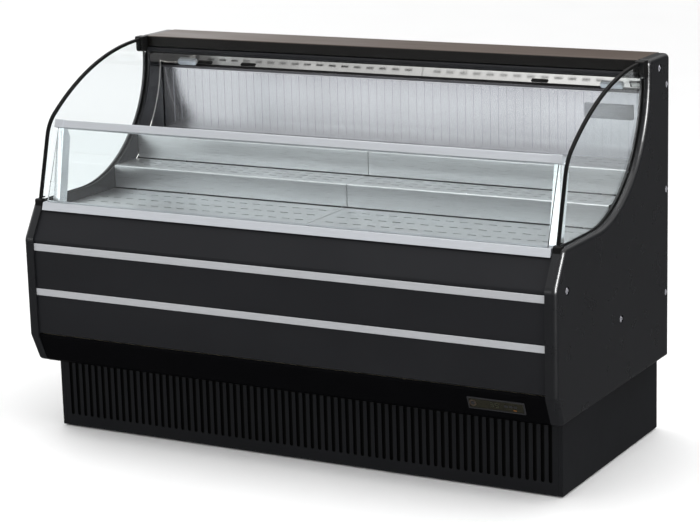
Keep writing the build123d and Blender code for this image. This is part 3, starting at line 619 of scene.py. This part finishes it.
def make_sensor_cover():
    """Flat louvred cover of the air sensor, low enough for the top pan to lift past it."""
    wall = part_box("rear_duct_panel")[0][1]
    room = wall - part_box("top_step_right")[1][1]
    plate = room * 0.55
    place = plane_matrix((COVER_X, wall, COVER_Z), (1, 0, 0), (0, -1, 0))
    bm = bmesh.new()
    add_slab(bm, rounded_outline(0.130, 0.040, 0.004), plate, place, ease=plate * 0.4)
    for row in range(LOUVRES):
        height = (row - (LOUVRES - 1) / 2) * LOUVRE_PITCH
        louvre = place @ Matrix.Translation((0.0, height, plate * 0.95))
        add_slab(bm, rounded_outline(0.108, 0.0036, 0.001), room * 0.25, louvre, ease=room * 0.12)
    add_piece("sensor_cover", bm, "bezel_grey", "cabinet", MATERIALS["cover_grey"])


SCREW_SIDES = 16
SCREW_RADIUS = 0.0045


def screw_head(bm, place, radius):
    """A pan head with a cross slot sunk in it."""
    angles = [2 * pi * index / SCREW_SIDES for index in range(SCREW_SIDES)]

    def ring(reaches, height):
        """A row of points round the head, each at its own reach from the centre."""
        return [bm.verts.new(place @ Vector((reach * cos(a), reach * sin(a), height)))
                for reach, a in zip(reaches, angles)]

    profile = ((1.0, 0.0), (1.0, 0.25), (0.8, 0.55), (0.42, 0.66))
    rows = [ring([radius * across] * SCREW_SIDES, radius * height) for across, height in profile]
    arm = radius * 0.42
    waist = radius * 0.182
    rows.append(ring([waist if index % 4 else arm for index in range(SCREW_SIDES)], radius * 0.3))
    for here, after in zip(rows, rows[1:]):
        for index in range(SCREW_SIDES):
            beside = (index + 1) % SCREW_SIDES
            bm.faces.new((here[index], here[beside], after[beside], after[index]))
    bm.faces.new(rows[-1])


def make_rear_screws():
    """Pan-head screws round the rear sheet and the rear grille."""
    bm = bmesh.new()
    low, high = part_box("rear_panel")
    sheet_back = high[1] - 0.001
    for z in (low[2] + 0.025, (low[2] + high[2]) / 2, high[2] - 0.05):
        for x in (low[0] + 0.012, -0.02, high[0] - 0.012):
            screw_head(bm, plane_matrix((x, sheet_back, z), (-1, 0, 0), (0, 1, 0)), SCREW_RADIUS)
    low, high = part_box("rear_grille")
    for z in (low[2] + 0.02, high[2] - 0.02):
        for x in (low[0] + 0.015, -0.36, 0.0, 0.30, high[0] - 0.015):
            screw_head(bm, plane_matrix((x, high[1], z), (-1, 0, 0), (0, 1, 0)), SCREW_RADIUS)
    add_piece("rear_screws", bm, "screw_steel", "cabinet")


# ---------------------------------------------------------------- coil return bends


COIL_ROWS = {"evaporator_coil": 4, "condenser_coil": 5}
BEND_TUBE_RADIUS = 0.005
BEND_REACH = 0.03
BEND_OVERLAP = 0.004


def make_return_bends():
    """U-bends that join the coil tubes in pairs at both ends of each coil."""
    sweep = [radians(-90 + 180 * step / 10) for step in range(11)]
    bm = bmesh.new()
    for node, rows in COIL_ROWS.items():
        low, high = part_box(node)
        tube_y = (low[1] + high[1]) / 2
        spacing = (high[2] - low[2]) / rows
        reach = min(spacing / 2, BEND_REACH)
        for side, start in ((1, 0), (-1, 1)):
            end = high[0] if side > 0 else low[0]
            for row in range(start, rows - 1, 2):
                centre = Vector((end - side * BEND_OVERLAP, tube_y, low[2] + spacing * (row + 1)))
                path = [centre + Vector((side * reach * cos(a), 0, spacing / 2 * sin(a))) for a in sweep]
                add_tube(bm, path, BEND_TUBE_RADIUS)
    add_piece("coil_return_bends", bm, "copper", "cabinet")


make_filter()
make_controller_face()
make_lamp_fittings()
make_lining_strips()
make_sensor_cover()
make_rear_screws()
make_return_bends()

# ---------------------------------------------------------------- floor, light and camera


def make_floor():
    """White studio floor that glossy faces do not mirror."""
    size = 30.0
    mesh = bpy.data.meshes.new("studio_floor")
    corners = [(-size, -size, 0), (size, -size, 0), (size, size, 0), (-size, size, 0)]
    mesh.from_pydata(corners, [], [(0, 1, 2, 3)])
    floor = bpy.data.objects.new("studio_floor", mesh)
    bpy.context.scene.collection.objects.link(floor)
    floor.visible_glossy = False
    pale = Shader("studio_floor", (0.96, 0.96, 0.96), 0.6)
    pale.roughness(pale.ramp(pale.noise(3), 0.55, 0.65))
    mesh.materials.append(pale.material)


# Smooth steps of the surround along one axis of the direction: axis, start, end, value before, value after
FLAG_LEFT_EDGE = ("X", -0.62, -0.40, 1.2, 0.05)
FLAG_TOP_EDGE = ("Z", 0.25, 0.5, 0.0, 1.0)
FLAG_NEAR_EDGE = ("Y", 0.2, 0.6, 1.0, 0.0)
FRONT_TO_BACK = ("Y", -0.8, 0.2, 0.5, 1.3)
BELOW_HORIZON = ("Y", -0.8, 0.3, 0.15, 0.10)
HORIZON = ("Z", -0.12, 0.0, 0.0, 1.0)


def make_world():
    """Soft studio surround: white above, dimmer in front, dark below the horizon.

    A dark flag stands low behind the case, and the far left stays bright beside it.
    """
    world = bpy.data.worlds.new("studio")
    world.use_nodes = True
    tree = world.node_tree
    parts = tree.nodes.new("ShaderNodeSeparateXYZ")
    tree.links.new(tree.nodes.new("ShaderNodeTexCoord").outputs["Generated"], parts.inputs["Vector"])

    def fade(axis, start, end, before, after):
        """A smooth step along one axis of the direction."""
        step = tree.nodes.new("ShaderNodeMapRange")
        step.interpolation_type = "SMOOTHSTEP"
        numbers = (("From Min", start), ("From Max", end), ("To Min", before), ("To Max", after))
        for socket, number in numbers:
            step.inputs[socket].default_value = number
        tree.links.new(parts.outputs[axis], step.inputs["Value"])
        return step.outputs["Result"]

    def combine(operation, *values):
        """Two brightnesses combined by the named operation."""
        node = tree.nodes.new("ShaderNodeMath")
        node.operation = operation
        for index, value in enumerate(values):
            tree.links.new(value, node.inputs[index])
        return node.outputs["Value"]

    beside_flag = combine("MAXIMUM", fade(*FLAG_LEFT_EDGE), fade(*FLAG_TOP_EDGE))
    beside_flag = combine("MAXIMUM", beside_flag, fade(*FLAG_NEAR_EDGE))
    blend = tree.nodes.new("ShaderNodeMix")
    tree.links.new(fade(*HORIZON), blend.inputs["Factor"])
    tree.links.new(fade(*BELOW_HORIZON), blend.inputs["A"])
    tree.links.new(combine("MULTIPLY", fade(*FRONT_TO_BACK), beside_flag), blend.inputs["B"])
    background = tree.nodes["Background"]
    background.inputs["Color"].default_value = (1, 1, 1, 1)
    tree.links.new(blend.outputs["Result"], background.inputs["Strength"])
    bpy.context.scene.world = world


# Area lights: name, place, target, width and height, power in watts, lights matt faces too
LIGHTS = (
    ("overhead", (0.3, -0.3, 3.4), (0, 0, 0.5), (3.6, 2.6), 56, True),
    ("low_front", (-1.8, -3.8, 1.15), (0, -0.2, 0.7), (3.2, 0.7), 20, True),
    ("side_fill", (4.0, -1.2, 1.6), (0.75, 0, 0.5), (1.6, 2.0), 25, True),
    ("edge_box", (3.5, -1.2, 1.6), (0.75, -0.1, 0.85), (0.9, 1.9), 340, False),
)


def area_light(name, place, target, size, power, diffuse):
    """A rectangular light at a place, aimed at its target."""
    data = bpy.data.lights.new(name, "AREA")
    data.shape = "RECTANGLE"
    data.size, data.size_y = size
    data.energy = power
    light = bpy.data.objects.new(name, data)
    light.location = place
    aim = Vector(target) - Vector(place)
    light.rotation_mode = "QUATERNION"
    light.rotation_quaternion = aim.to_track_quat("-Z", "Y")
    light.visible_diffuse = diffuse
    bpy.context.scene.collection.objects.link(light)


CAMERA_PLACE = Vector((2.849, -5.092, 1.834))
CAMERA_AZIMUTH = radians(29.08)
CAMERA_DROP = radians(13.23)
CAMERA_ROLL = radians(-1.57)
CAMERA_LENS = 118.26


def make_camera():
    """Camera from the front right, looking slightly down, with a small roll."""
    data = bpy.data.cameras.new("camera")
    data.sensor_width = 36.0
    data.lens = CAMERA_LENS
    level_reach = cos(CAMERA_DROP)
    forward = Vector((-sin(CAMERA_AZIMUTH) * level_reach, cos(CAMERA_AZIMUTH) * level_reach,
                      -sin(CAMERA_DROP)))
    level = forward.cross(Vector((0, 0, 1))).normalized()
    above = level.cross(forward)
    right = level * cos(CAMERA_ROLL) + above * sin(CAMERA_ROLL)
    up = above * cos(CAMERA_ROLL) - level * sin(CAMERA_ROLL)
    camera = bpy.data.objects.new("camera", data)
    turn = Matrix((right, up, -forward)).transposed().to_4x4()
    camera.matrix_world = Matrix.Translation(CAMERA_PLACE) @ turn
    bpy.context.scene.collection.objects.link(camera)
    bpy.context.scene.camera = camera


make_floor()
make_world()
for light in LIGHTS:
    area_light(*light)
make_camera()
bpy.context.scene.view_settings.view_transform = "Standard"
